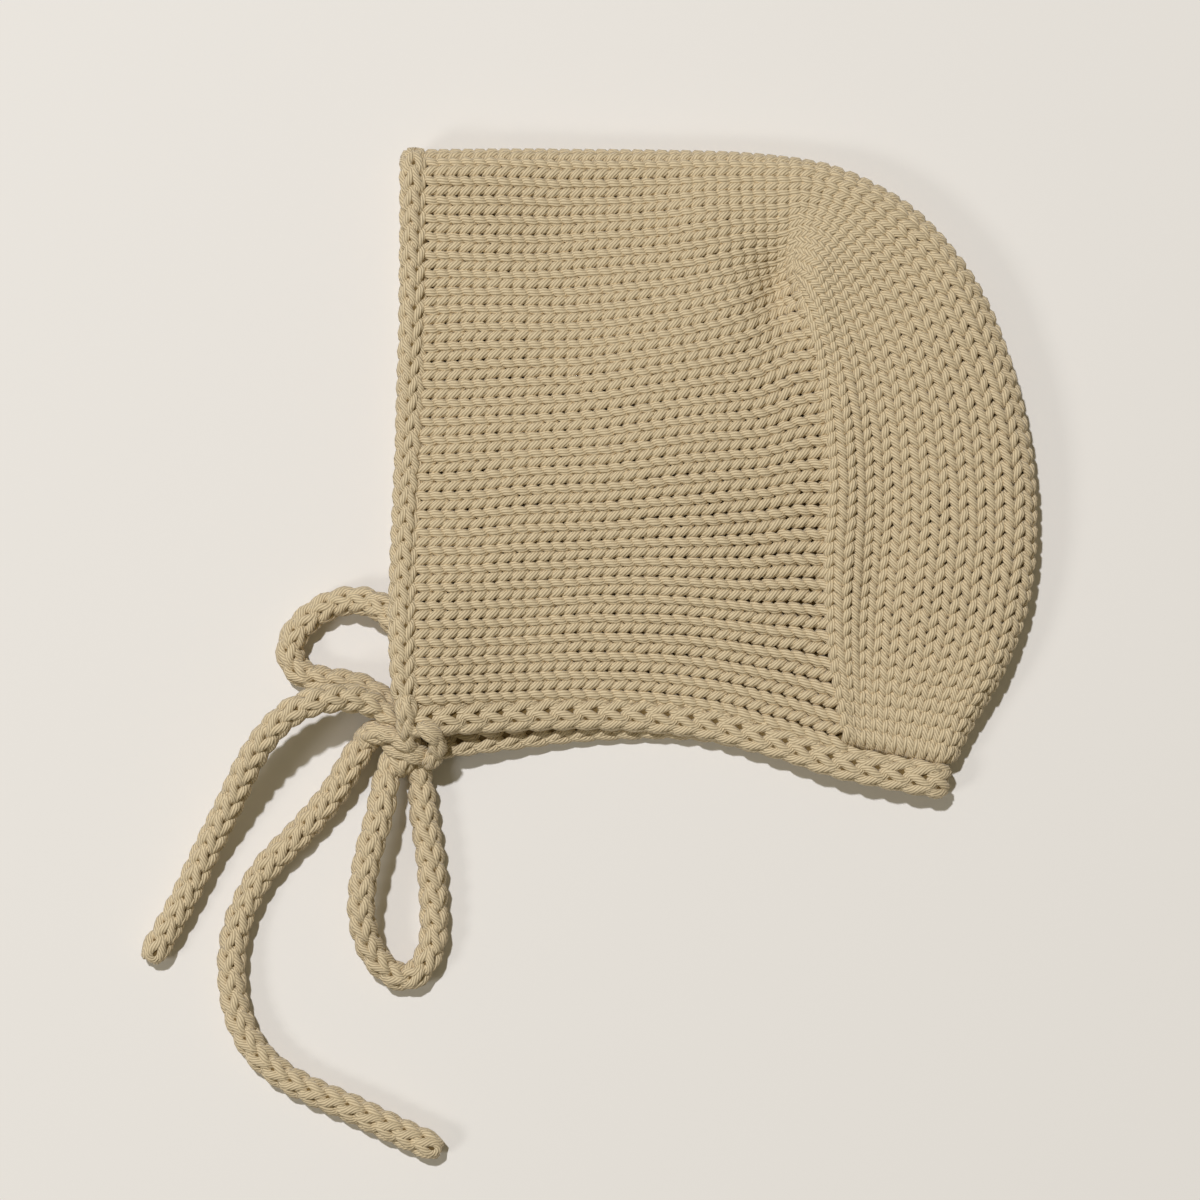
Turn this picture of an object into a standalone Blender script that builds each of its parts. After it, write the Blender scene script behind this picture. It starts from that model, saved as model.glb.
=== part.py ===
"""Knitted baby bonnet with i-cord ties, lying pressed flat on its left side.

The origin is on the surface that it lies on, under the middle of the bonnet's outline without its ties.
+Z is up, +Y runs from the neck to the crown, and +X from the face opening to the back of the head.
The near layer is the upper one, and the far layer lies on the surface.
"""

import bisect
import math

import bmesh
import bpy
from mathutils import Vector

# Driving dimensions, in metres
BONNET_DEPTH = 0.1681  # outer side of the front band to the back fold
BONNET_HEIGHT = 0.1713  # crown fold to the lowest point at the nape
FABRIC = 0.0036  # thickness of the knitted cloth
FOLD_HEIGHT = 0.0130  # over the outside of a pressed fold
JOIN_GAP = 0.0008  # left between two pieces that are knitted together
FRONT_BAND_WIDTH = 0.0086
FRONT_BAND_THICKNESS = 0.0070
FRONT_GAPE = 0.0055  # between the near and far front bands at the crown
NECK_BAND_WIDTH = 0.0106
NECK_BAND_THICKNESS = 0.0055
NECK_GAPE = 0.0050  # between the near and far neck bands
TIE_DIAMETER = 0.0084
TIE_CLEARANCE = 0.0020  # around the tie that passes between the front bands
LEAD_DIAMETERS = {  # of the ties where they are pulled tight into the knot
    "tie_lead_near": 0.0068,
    "tie_lead_far": 0.0050,
}
CROWN_LOFT = 0.0060  # how far the crown of the near layer puffs up
SEAM_RIDGE = 0.0012  # how far the seam stands up
FAR_NECK_DROP = 0.0065  # how far the far layer shows below the near one at the front
FAR_FRONT_DROP = 0.0046  # how far the front band's far end lies below its near end

# Places on the flat outline, as shares of the bonnet's depth from the front and its height from the nape
FOLD_LINE = (  # depth share, height share, from the front band over the crown and down the back
    (0.067, 0.995),
    (0.234, 0.997),
    (0.404, 0.996),
    (0.544, 0.992),
    (0.637, 0.983),
    (0.714, 0.963),
    (0.807, 0.912),
    (0.881, 0.837),
    (0.938, 0.742),
    (0.982, 0.604),
    (1.001, 0.467),
    (0.994, 0.331),
    (0.958, 0.222),
    (0.907, 0.131),
    (0.876, 0.072),
)
CROWN_POINTS = 5  # rows of FOLD_LINE up to where the back panel starts
SEAM_LINE = (  # depth share, height share, from the fold past the corner of the back panel to the neck
    (0.637, 0.983),
    (0.629, 0.813),
    (0.656, 0.725),
    (0.678, 0.619),
    (0.688, 0.500),
    (0.682, 0.370),
    (0.686, 0.240),
    (0.704, 0.105),
)
SEAM_POINTS_TO_CORNER = 1  # rows of SEAM_LINE before the one at the corner of the back panel
FRONT_LINE = (  # depth share, height share of the middle of the front band, crown to neck
    (0.042, 1.004),
    (0.041, 0.771),
    (0.036, 0.574),
    (0.029, 0.407),
    (0.026, 0.270),
    (0.029, 0.173),
)
NECK_LINE = (  # depth share, height share, share of FAR_NECK_DROP, front to nape
    (0.060, 0.173, 1.00),
    (0.172, 0.178, 0.78),
    (0.327, 0.181, 0.44),
    (0.482, 0.168, 0.12),
    (0.611, 0.135, 0.02),
    (0.704, 0.105, 0.00),
    (0.876, 0.072, 0.00),
)
NECK_POINTS_AT_SIDE = 6  # rows of NECK_LINE that edge the side panel

# The upper face of the near layer: each row adds a smooth rise to FOLD_HEIGHT. The rises at the two mouths
# leave room for the far band, the gape over it and half of the near band.
FRONT_RISE = 1.5 * FRONT_BAND_THICKNESS + FRONT_GAPE + FABRIC / 2 - FOLD_HEIGHT
BOW_RISE = TIE_DIAMETER + TIE_CLEARANCE - FRONT_GAPE
NECK_RISE = 1.5 * NECK_BAND_THICKNESS + NECK_GAPE + FABRIC / 2 - FOLD_HEIGHT
RELIEF = (  # middle as depth and height share, reach as depth and height share, rise
    ("front mouth", 0.03, 0.50, 0.22, 3.00, FRONT_RISE),
    ("bow corner", 0.03, 0.21, 0.16, 0.17, BOW_RISE),
    ("neck mouth", 0.42, 0.15, 0.34, 0.16, NECK_RISE),
    ("nape", 0.86, 0.07, 0.12, 0.12, NECK_RISE),
    ("crown puff", 0.42, 0.58, 0.24, 0.24, CROWN_LOFT),
    ("back puff", 0.84, 0.48, 0.10, 0.24, 0.5 * CROWN_LOFT),
    ("dimple by the corner", 0.566, 0.79, 0.036, 0.05, -0.4 * CROWN_LOFT),
    ("bump at the corner", 0.634, 0.83, 0.050, 0.04, 0.2 * CROWN_LOFT),
    ("seam ridge, upper", 0.695, 0.62, 0.022, 0.12, SEAM_RIDGE),
    ("seam ridge, lower", 0.704, 0.34, 0.022, 0.20, SEAM_RIDGE),
)

# Mesh steps
SIDE_ROWS = 20
BACK_ROWS = 26
SIDE_NEAR_STEPS = (12, 4)  # below and above the corner of the back panel
SIDE_FAR_STEPS = (10, 3)
BACK_NEAR_STEPS = (9, 0)
BACK_FAR_STEPS = (4, 0)
FOLD_STEPS = 8
SEAM_CROWDING = 1.4  # over 1 puts more steps next to the seam
BAND_SIDES = 12
BAND_STEP = 0.007
CURVE_SAMPLES = 12
HEADING_SHARE = 0.01  # of a band's length, looked at on both sides of a point for its heading
CORD_ROUNDNESS = 3
KNOT_SEGMENTS = (18, 12)  # round and along
WELD_DISTANCE = 0.00001

# Ties and knot, in millimetres as they lie: each route is the middle of a cord
MILLIMETRE = 0.001
TIE_STEP = 0.0070
LEAD_ROUTES = {
    "tie_lead_near": ((-78.8, -57.4, 20.4), (-78.8, -60.8, 19.6), (-78.6, -64.2, 17.6)),
    "tie_lead_far": (
        (-73.4, -64.2, 10.0), (-71.8, -65.9, 10.4), (-71.1, -68.6, 10.4), (-71.7, -71.6, 9.4),
        (-73.2, -73.4, 8.2),
    ),
}
TIE_ROUTES = {
    "tie_loop_upper": (
        (-79.6, -60.6, 11.4), (-79.0, -55.0, 11.7), (-78.9, -47.0, 11.8), (-80.8, -39.0, 11.7),
        (-86.5, -33.0, 10.6), (-95.5, -31.8, 7.0), (-104.5, -36.0, 4.6), (-109.8, -43.5, 4.3),
        (-107.6, -50.0, 4.3), (-100.6, -52.6, 4.3), (-94.2, -53.4, 4.4), (-88.8, -55.4, 4.5),
    ),
    "tie_end_upper": (
        (-86.5, -59.3, 13.4), (-91.0, -57.4, 13.1), (-96.0, -56.8, 13.4), (-102.0, -57.6, 15.2),
        (-107.5, -59.8, 16.2), (-113.6, -65.0, 14.8), (-119.4, -73.2, 11.4), (-124.9, -84.2, 7.8),
        (-130.9, -95.8, 5.2), (-137.9, -110.3, 4.3), (-145.6, -124.0, 4.3),
    ),
    "tie_end_lower": (
        (-89.5, -68.0, 6.5), (-92.8, -72.5, 6.5), (-98.5, -82.0, 5.6), (-107.0, -92.0, 4.7),
        (-116.4, -101.8, 4.3), (-122.6, -113.3, 4.3), (-125.0, -125.0, 4.3), (-123.9, -138.0, 4.3),
        (-119.2, -148.2, 4.3), (-111.8, -155.2, 4.3), (-102.9, -160.0, 4.3), (-93.6, -164.0, 4.3),
        (-83.0, -169.2, 4.3), (-72.0, -174.2, 4.3),
    ),
    "tie_loop_lower": (
        (-84.2, -76.0, 6.6), (-86.0, -86.5, 7.6), (-89.4, -99.0, 7.6), (-91.0, -112.0, 5.6),
        (-88.6, -122.5, 4.3), (-82.7, -129.2, 4.3), (-77.0, -129.0, 4.3), (-72.8, -121.5, 4.3),
        (-72.4, -111.0, 4.3), (-73.3, -99.0, 4.3), (-75.0, -87.5, 4.3), (-75.7, -78.6, 4.6),
    ),
}
KNOT_MIDDLE = (-80.6, -68.7, 8.2)
KNOT_RADII = (5.4, 7.4, 6.3)
KNOT_WRAP = ((-85.6, -65.6, 10.6), (-82.0, -67.6, 12.8), (-79.4, -69.6, 12.4), (-78.2, -71.2, 10.6))
KNOT_WRAP_DIAMETER = 0.0064

# Yarn, as linear colours
YARN_BEIGE = (0.445, 0.352, 0.216)
YARN_SHADED = (0.415, 0.325, 0.196)
YARN_ROUGHNESS = 0.95


def clear_scene():
    for thing in list(bpy.data.objects):
        bpy.data.objects.remove(thing, do_unlink=True)


def cloth_material(name, colour):
    material = bpy.data.materials.new(name)
    material.use_nodes = True
    shader = material.node_tree.nodes["Principled BSDF"]
    shader.inputs["Base Color"].default_value = (*colour, 1)
    shader.inputs["Roughness"].default_value = YARN_ROUGHNESS
    shader.inputs["Metallic"].default_value = 0
    return material


def on_outline(depth_share, height_share):
    """The place of a pair of shares, in metres from the middle of the bonnet's outline."""
    return Vector(((depth_share - 0.5) * BONNET_DEPTH, (height_share - 0.5) * BONNET_HEIGHT))


def through(points, samples=CURVE_SAMPLES):
    """A smooth line through the points, as many short steps."""
    ends = [2 * points[0] - points[1], *points, 2 * points[-1] - points[-2]]
    line = []
    for before, start, end, after in zip(ends, ends[1:], ends[2:], ends[3:]):
        for i in range(samples):
            t = i / samples
            line.append(
                0.5
                * (
                    2 * start
                    + (end - before) * t
                    + (2 * before - 5 * start + 4 * end - after) * t**2
                    + (3 * start - before - 3 * end + after) * t**3
                )
            )
    return [*line, points[-1].copy()]


def along(line):
    """Returns a function that gives the point at a share of the line's length, 0 to 1, and the length."""
    lengths = [0]
    for start, end in zip(line, line[1:]):
        lengths.append(lengths[-1] + (end - start).length)

    def at(share):
        wanted = min(max(share, 0), 1) * lengths[-1]
        i = min(bisect.bisect_right(lengths, wanted), len(line) - 1)
        step = lengths[i] - lengths[i - 1]
        return line[i - 1].lerp(line[i], (wanted - lengths[i - 1]) / step)

    return at, lengths[-1]


def top_height(place):
    """Height of the near layer's upper face above the surface."""
    height = FOLD_HEIGHT
    for _, depth, up, depth_reach, height_reach, rise in RELIEF:
        away = place - on_outline(depth, up)
        x = away.x / (depth_reach * BONNET_DEPTH)
        y = away.y / (height_reach * BONNET_HEIGHT)
        height += rise * math.exp(-(x**2) - y**2)
    return height


def neck_edge(drop):
    """The neck edge of the panels, lowered by this share of the far layer's drop."""
    lowered = FAR_NECK_DROP * drop
    return [on_outline(depth, up) - Vector((0, lowered * share)) for depth, up, share in NECK_LINE]


def coons(fold, inner, start, end):
    """A flat patch between four lines: t runs from the fold to the inner line, w from start to end."""

    def at(t, w):
        ruled = start(t).lerp(end(t), w)
        fold_pull = fold(w) - start(0).lerp(end(0), w)
        inner_pull = inner(w) - start(1).lerp(end(1), w)
        return ruled + fold_pull * (1 - t) + inner_pull * t

    return at


def seam_lines(neck):
    """The straight start of the back panel, from fold to corner, and the seam from there to the neck."""
    row_zero = [on_outline(*row) for row in SEAM_LINE[: SEAM_POINTS_TO_CORNER + 1]]
    seam = [on_outline(*row) for row in SEAM_LINE[SEAM_POINTS_TO_CORNER:-1]]
    seam.append(neck[NECK_POINTS_AT_SIDE - 1])
    return row_zero, through(seam)


def side_patch(drop):
    """Plan of one half of the side panel, and the share of its end above the back panel's corner.

    drop is 0 on the near layer and 1 on the far one.
    """
    neck = neck_edge(drop)
    crown = through([on_outline(*row) for row in FOLD_LINE[:CROWN_POINTS]])
    front_shift = Vector((FRONT_BAND_WIDTH / 2 + JOIN_GAP, 0))
    front = [on_outline(*row) + front_shift for row in FRONT_LINE]
    front[0].y = crown[0].y
    front[-1].y = neck[0].y
    row_zero, seam = seam_lines(neck)
    end, end_length = along(row_zero[:1] + seam)
    side_neck = through([front[-1], *neck[1:NECK_POINTS_AT_SIDE]])
    crown[0] = front[0]
    corner = along(row_zero)[1] / end_length
    return coons(along(crown)[0], along(side_neck)[0], along(through(front))[0], end), corner


def back_patch(drop):
    """Plan of one half of the back panel."""
    neck = neck_edge(drop)
    fold = through([on_outline(*row) for row in FOLD_LINE])[CURVE_SAMPLES * (CROWN_POINTS - 1) :]
    row_zero, seam = seam_lines(neck)
    neck_line = [neck[-1], neck[NECK_POINTS_AT_SIDE - 1]]
    return coons(along(fold)[0], along(seam)[0], along(row_zero)[0], along(neck_line)[0])


def stations(limit, corner, turn, steps, crowding):
    """Shares from the inner line to where the fold starts, with one at the corner.

    A crowding over 1 puts more of them at the inner line, and one under 1 at the corner.
    """
    inner, outer = steps
    below = [limit + (corner - limit) * (i / inner) ** crowding for i in range(inner)]
    return below + [corner + (turn - corner) * i / outer for i in range(outer)]


def strip(near, far, w, corner, near_steps, far_steps, crowding):
    """Outer face of one strip of folded cloth, from the near layer's inner line round to the far one.

    corner is the share of the way across at which the strips pass the back panel's corner, if they do.
    """
    reach = (near(0, w) - near(1, w)).length
    limit = 1 - JOIN_GAP / 2 / reach
    radius = top_height(near(FOLD_HEIGHT / 2 / reach, w)) / 2
    turn = radius / reach
    corner = corner or turn
    points = []
    for t in stations(limit, corner, turn, near_steps, crowding):
        place = near(t, w)
        points.append((*place, top_height(place)))
    for i in range(FOLD_STEPS + 1):
        angle = math.pi * (0.5 - i / FOLD_STEPS)
        place = near(turn * (1 - math.cos(angle)), w)
        points.append((*place, radius * (1 + math.sin(angle))))
    for t in reversed(stations(limit, corner, turn, far_steps, crowding)):
        points.append((*far(t, w), 0))
    return points


def add_object(name, mesh, collection, colour):
    mesh.materials.append(cloth_material(name, colour))
    mesh.shade_smooth()
    piece = bpy.data.objects.new(name, mesh)
    collection.objects.link(piece)
    return piece


def loft(name, rings, closed, collection, colour):
    """A mesh through rings of points. Closed rings make a capped tube, open ones a sheet."""
    shape = bmesh.new()
    rows = [[shape.verts.new(point) for point in ring] for ring in rings]
    for row, following in zip(rows, rows[1:]):
        for i in range(0 if closed else 1, len(row)):
            shape.faces.new((following[i - 1], following[i], row[i], row[i - 1]))
    if closed:
        shape.faces.new(reversed(rows[0]))
        shape.faces.new(rows[-1])
        bmesh.ops.recalc_face_normals(shape, faces=shape.faces)
    mesh = bpy.data.meshes.new(name)
    shape.to_mesh(mesh)
    shape.free()
    return add_object(name, mesh, collection, colour)


def thicken(sheet):
    wall = sheet.modifiers.new("Cloth", "SOLIDIFY")
    wall.thickness = FABRIC
    wall.offset = -1
    wall.use_even_offset = True


def add_side_panel(collection):
    near, corner = side_patch(0)
    far, _ = side_patch(1)
    corner_depth = SEAM_LINE[SEAM_POINTS_TO_CORNER][0]
    last = 1 - JOIN_GAP / 2 / ((corner_depth - FRONT_LINE[0][0]) * BONNET_DEPTH)
    rings = []
    for row in range(SIDE_ROWS + 1):
        w = last * (1 - (1 - row / SIDE_ROWS) ** SEAM_CROWDING)
        rings.append(strip(near, far, w, corner, SIDE_NEAR_STEPS, SIDE_FAR_STEPS, 1 / SEAM_CROWDING))
    thicken(loft("side_panel", rings, False, collection, YARN_BEIGE))


def add_back_panel(collection):
    near = back_patch(0)
    far = back_patch(1)
    corner_height = SEAM_LINE[SEAM_POINTS_TO_CORNER][1]
    first = JOIN_GAP / 2 / ((corner_height - SEAM_LINE[-1][1]) * BONNET_HEIGHT)
    rings = []
    for row in range(BACK_ROWS + 1):
        w = first + (1 - first) * row / BACK_ROWS
        rings.append(strip(near, far, w, None, BACK_NEAR_STEPS, BACK_FAR_STEPS, SEAM_CROWDING))
    thicken(loft("back_panel", rings, False, collection, YARN_BEIGE))


def band_rings(near, far, width, thickness, near_drop):
    """Rings of an oval edging that runs along near, turns over, and comes back under it along far.

    near_drop is how far the oval's middle lies under the near layer's upper face.
    """

    def ring(middle, across, outward):
        points = []
        for i in range(BAND_SIDES):
            angle = math.tau * i / BAND_SIDES
            points.append(
                middle + across * math.cos(angle) * width / 2 + outward * math.sin(angle) * thickness / 2
            )
        return points

    up = Vector((0, 0, 1))
    rings = []
    near_at, near_length = along(near)
    steps = round(near_length / BAND_STEP)
    for i in range(steps + 1):
        place = near_at(i / steps)
        heading = (near_at(i / steps + HEADING_SHARE) - near_at(i / steps - HEADING_SHARE)).normalized()
        across = Vector((heading.y, -heading.x, 0))
        rings.append(ring(Vector((*place, top_height(place) - near_drop)), across, up))
    top = top_height(near[-1]) - near_drop
    radius = (top - thickness / 2) / 2
    ahead = Vector((*heading, 0))
    for i in range(1, FOLD_STEPS):
        angle = math.pi * (0.5 - i / FOLD_STEPS)
        outward = ahead * math.cos(angle) + up * math.sin(angle)
        rings.append(ring(Vector((*near[-1], thickness / 2 + radius)) + outward * radius, across, outward))
    far_at, far_length = along(far)
    steps = round(far_length / BAND_STEP)
    for i in range(steps + 1):
        place = far_at(i / steps)
        heading = (far_at(i / steps + HEADING_SHARE) - far_at(i / steps - HEADING_SHARE)).normalized()
        across = Vector((-heading.y, heading.x, 0))
        rings.append(ring(Vector((*place, thickness / 2)), across, -up))
    return rings


def turn_back(line, radius):
    """The line with this much cut off its end, so that a fold there ends where the line did."""
    at, length = along(line)
    share = 1 - radius / length
    return [at(share * i / len(line)) for i in range(len(line) + 1)]


def add_front_band(collection):
    middle = [on_outline(*row) for row in FRONT_LINE]
    near = through(middle[::-1])
    fold = (top_height(near[-1]) - FABRIC / 2 + FRONT_BAND_THICKNESS / 2) / 2
    near = turn_back(near, fold)
    far_end = Vector((middle[-1].x, middle[-1].y - FAR_FRONT_DROP))
    far = [near[-1], *through([*middle[1:-1], far_end])]
    rings = band_rings(near, far, FRONT_BAND_WIDTH, FRONT_BAND_THICKNESS, FABRIC / 2)
    loft("front_band", rings, True, collection, YARN_BEIGE)


def add_neck_band(collection):
    below = Vector((0, NECK_BAND_WIDTH / 2 + JOIN_GAP))
    near = through([place - below for place in neck_edge(0)])
    fold = (top_height(near[-1]) - FABRIC / 2 + NECK_BAND_THICKNESS / 2) / 2
    near = turn_back(near, fold)
    far = turn_back(through([place - below for place in neck_edge(1)]), fold)[::-1]
    far[0] = near[-1]
    rings = band_rings(near, far, NECK_BAND_WIDTH, NECK_BAND_THICKNESS, FABRIC / 2)
    loft("neck_band", rings, True, collection, YARN_BEIGE)


def add_cord(name, route, diameter, collection, colour):
    """A round cord through hand-set points in millimetres."""
    line = through([Vector(point) * MILLIMETRE for point in route])
    at, length = along(line)
    steps = max(round(length / TIE_STEP), 2)
    curve = bpy.data.curves.new(name, "CURVE")
    curve.dimensions = "3D"
    curve.bevel_depth = diameter / 2
    curve.bevel_resolution = CORD_ROUNDNESS
    curve.use_fill_caps = True
    spline = curve.splines.new("POLY")
    spline.points.add(steps)
    for i, point in enumerate(spline.points):
        point.co = (*at(i / steps), 1)
    curve.materials.append(cloth_material(name, colour))
    cord = bpy.data.objects.new(name, curve)
    collection.objects.link(cord)
    return cord


def as_welded_mesh(cord, collection):
    """Turns a cord into a closed mesh object, which a Boolean can join."""
    bpy.context.view_layer.update()
    graph = bpy.context.evaluated_depsgraph_get()
    mesh = bpy.data.meshes.new_from_object(cord.evaluated_get(graph))
    shape = bmesh.new()
    shape.from_mesh(mesh)
    bmesh.ops.remove_doubles(shape, verts=shape.verts, dist=WELD_DISTANCE)
    bmesh.ops.recalc_face_normals(shape, faces=shape.faces)
    shape.to_mesh(mesh)
    shape.free()
    solid = bpy.data.objects.new(cord.name + "_mesh", mesh)
    solid.matrix_world = cord.matrix_world.copy()
    collection.objects.link(solid)
    bpy.data.objects.remove(cord, do_unlink=True)
    return solid


def add_bow_knot(collection, helpers):
    """The round heart of the knot, with the cord that wraps over its front."""
    core = bmesh.new()
    bmesh.ops.create_uvsphere(core, u_segments=KNOT_SEGMENTS[0], v_segments=KNOT_SEGMENTS[1], radius=1)
    radii = Vector(KNOT_RADII) * MILLIMETRE
    bmesh.ops.scale(core, vec=radii, verts=core.verts)
    bmesh.ops.translate(core, vec=Vector(KNOT_MIDDLE) * MILLIMETRE, verts=core.verts)
    mesh = bpy.data.meshes.new("bow_knot")
    core.to_mesh(mesh)
    core.free()
    knot = add_object("bow_knot", mesh, collection, YARN_SHADED)
    wrap = add_cord("knot_wrap", KNOT_WRAP, KNOT_WRAP_DIAMETER, helpers, YARN_SHADED)
    wrap = as_welded_mesh(wrap, helpers)
    wrap.hide_render = True
    wrap.display_type = "WIRE"
    join = knot.modifiers.new("Wrap", "BOOLEAN")
    join.operation = "UNION"
    join.object = wrap


def main():
    clear_scene()
    bonnet = bpy.data.collections.new("Baby bonnet")
    helpers = bpy.data.collections.new("Helpers")
    bpy.context.scene.collection.children.link(bonnet)
    bpy.context.scene.collection.children.link(helpers)
    add_side_panel(bonnet)
    add_back_panel(bonnet)
    add_front_band(bonnet)
    add_neck_band(bonnet)
    for name, route in LEAD_ROUTES.items():
        add_cord(name, route, LEAD_DIAMETERS[name], bonnet, YARN_SHADED)
    for name, route in TIE_ROUTES.items():
        add_cord(name, route, TIE_DIAMETER, bonnet, YARN_BEIGE)
    add_bow_knot(bonnet, helpers)


main()
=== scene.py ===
import bisect
import math

import bmesh
import bpy
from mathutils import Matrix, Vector, noise


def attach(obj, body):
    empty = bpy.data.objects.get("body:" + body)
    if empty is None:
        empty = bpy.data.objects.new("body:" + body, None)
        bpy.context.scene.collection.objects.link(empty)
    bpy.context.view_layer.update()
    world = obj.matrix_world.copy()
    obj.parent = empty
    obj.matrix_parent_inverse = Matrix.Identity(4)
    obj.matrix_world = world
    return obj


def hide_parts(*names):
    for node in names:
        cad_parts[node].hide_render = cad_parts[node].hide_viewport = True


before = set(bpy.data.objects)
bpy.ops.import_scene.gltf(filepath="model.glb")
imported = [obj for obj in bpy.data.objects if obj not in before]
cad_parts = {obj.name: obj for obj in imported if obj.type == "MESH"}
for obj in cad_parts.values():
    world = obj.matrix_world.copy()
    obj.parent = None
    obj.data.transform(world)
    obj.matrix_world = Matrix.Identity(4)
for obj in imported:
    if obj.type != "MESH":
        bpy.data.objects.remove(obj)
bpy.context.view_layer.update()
millimetre = 0.001


# one node, with its settings and links
def addNode(tree, kind, settings=None, links=None):
    node = tree.nodes.new(kind)
    for name, value in (settings or {}).items():
        setattr(node, name, value)
    for socket, source in (links or {}).items():
        if isinstance(source, bpy.types.NodeSocket):
            tree.links.new(source, node.inputs[socket])
        else:
            node.inputs[socket].default_value = source
    return node


# one sum in a tree, as the socket that gives its result
def reckon(tree, operation, *values):
    return addNode(tree, "ShaderNodeMath", {"operation": operation}, dict(enumerate(values))).outputs[0]


# sRGB hex to the linear colour that the shaders take
def linearColour(hexColour):
    channels = [int(hexColour[i:i + 2], 16) / 255 for i in (1, 3, 5)]
    linear = [c / 12.92 if c <= 0.04045 else ((c + 0.055) / 1.055) ** 2.4 for c in channels]
    return (*linear, 1)


# the camera, straight above as in the photo
camera = {
    "sensor": 36,
    "middle": (-0.02905, -0.03159),  # what the middle of the photo looks at
    "height": 1.2,
    "seen": 0.312,  # width of the table in the photo
    "at": 0.006,  # height above the table where that width is measured
}
view = bpy.data.cameras.new("camera")
view.sensor_width = camera["sensor"]
view.sensor_height = camera["sensor"]
view.sensor_fit = "HORIZONTAL"
view.lens = camera["sensor"] * (camera["height"] - camera["at"]) / camera["seen"]
view.clip_start = 0.05
view.clip_end = 20
cameraObject = bpy.data.objects.new("camera", view)
cameraObject.location = (*camera["middle"], camera["height"])
bpy.context.scene.collection.objects.link(cameraObject)
bpy.context.scene.camera = cameraObject
print("camera set")

smoothSteps = 12  # from one point of a smooth line to the next


# lines and flat patches, as the bonnet's panels are laid out
def smoothLine(points):
    ends = [2 * points[0] - points[1], *points, 2 * points[-1] - points[-2]]
    line = []
    for before, start, end, after in zip(ends, ends[1:], ends[2:], ends[3:]):
        for i in range(smoothSteps):
            t = i / smoothSteps
            square = 2 * before - 5 * start + 4 * end - after
            cube = 3 * start - before - 3 * end + after
            line.append(0.5 * (2 * start + (end - before) * t + square * t ** 2 + cube * t ** 3))
    return [*line, points[-1].copy()]


def lengthsOf(line):
    lengths = [0]
    for start, end in zip(line, line[1:]):
        lengths.append(lengths[-1] + (end - start).length)
    return lengths


# gives the point at a length along the line
def pointAt(line, lengths, wanted):
    wanted = min(max(wanted, 0), lengths[-1])
    i = min(bisect.bisect_right(lengths, wanted), len(line) - 1)
    step = lengths[i] - lengths[i - 1]
    return line[i - 1].lerp(line[i], (wanted - lengths[i - 1]) / step if step else 0)


def alongLine(line):
    lengths = lengthsOf(line)
    return (lambda share: pointAt(line, lengths, share * lengths[-1])), lengths[-1]


bonnet = {  # sizes in metres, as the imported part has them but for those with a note
    "depth": 0.1681,
    "height": 0.1713,
    "cloth": 0.0036,
    "foldHeight": 0.0130,
    "joinGap": 0.0008,
    "frontWidth": 0.0086,
    "frontThickness": 0.0070,
    "frontGape": 0.0055,
    "neckWidth": 0.0106,
    "neckThickness": 0.0055,
    "neckGape": 0.0012,  # less than in the part, where the opening is kept wide enough to test
    "tie": 0.0084,
    "tieClearance": 0.0020,
    "crownLoft": 0.0060,
    "seamRidge": 0.0012,
    "farNeckDrop": 0.0065,
    "farFrontDrop": 0.0046,
    "tuck": 0.0015,  # how far the rows start under the front band
    "underSeam": 0.0014,  # how far they end under the back panel's first wale
    "neckSag": 0.003,  # how far the near neck edge sinks over the open neck
    "cornerFan": 0.25,  # share of the back panel's rows that turn about its corner
}
outline = {  # shares of the depth from the front and of the height from the nape
    "fold": (
        (0.067, 0.995), (0.234, 0.997), (0.404, 0.996), (0.544, 0.992), (0.637, 0.983),
        (0.714, 0.963), (0.807, 0.912), (0.881, 0.837), (0.938, 0.742), (0.982, 0.604),
        (1.001, 0.467), (0.994, 0.331), (0.958, 0.222), (0.907, 0.131), (0.876, 0.072),
    ),
    "crownPoints": 5,
    "seam": (
        (0.637, 0.983), (0.629, 0.813), (0.656, 0.725), (0.678, 0.619),
        (0.688, 0.500), (0.682, 0.370), (0.686, 0.240), (0.704, 0.105),
    ),
    "front": (
        (0.042, 1.004), (0.041, 0.771), (0.036, 0.574),
        (0.029, 0.407), (0.026, 0.270), (0.029, 0.173),
    ),
    "neck": (  # and the share of farNeckDrop
        (0.060, 0.173, 1.00), (0.172, 0.178, 0.78), (0.327, 0.181, 0.44),
        (0.482, 0.168, 0.12), (0.611, 0.135, 0.02), (0.704, 0.105, 0.00), (0.876, 0.072, 0.00),
    ),
    "neckPointsAtSide": 6,
}
clothRise = bonnet["cloth"] / 2 - bonnet["foldHeight"]
frontRise = 1.5 * bonnet["frontThickness"] + bonnet["frontGape"] + clothRise
bowRise = bonnet["tie"] + bonnet["tieClearance"] - bonnet["frontGape"]
neckRise = 1.5 * bonnet["neckThickness"] + bonnet["neckGape"] + clothRise
loft = bonnet["crownLoft"]
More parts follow.
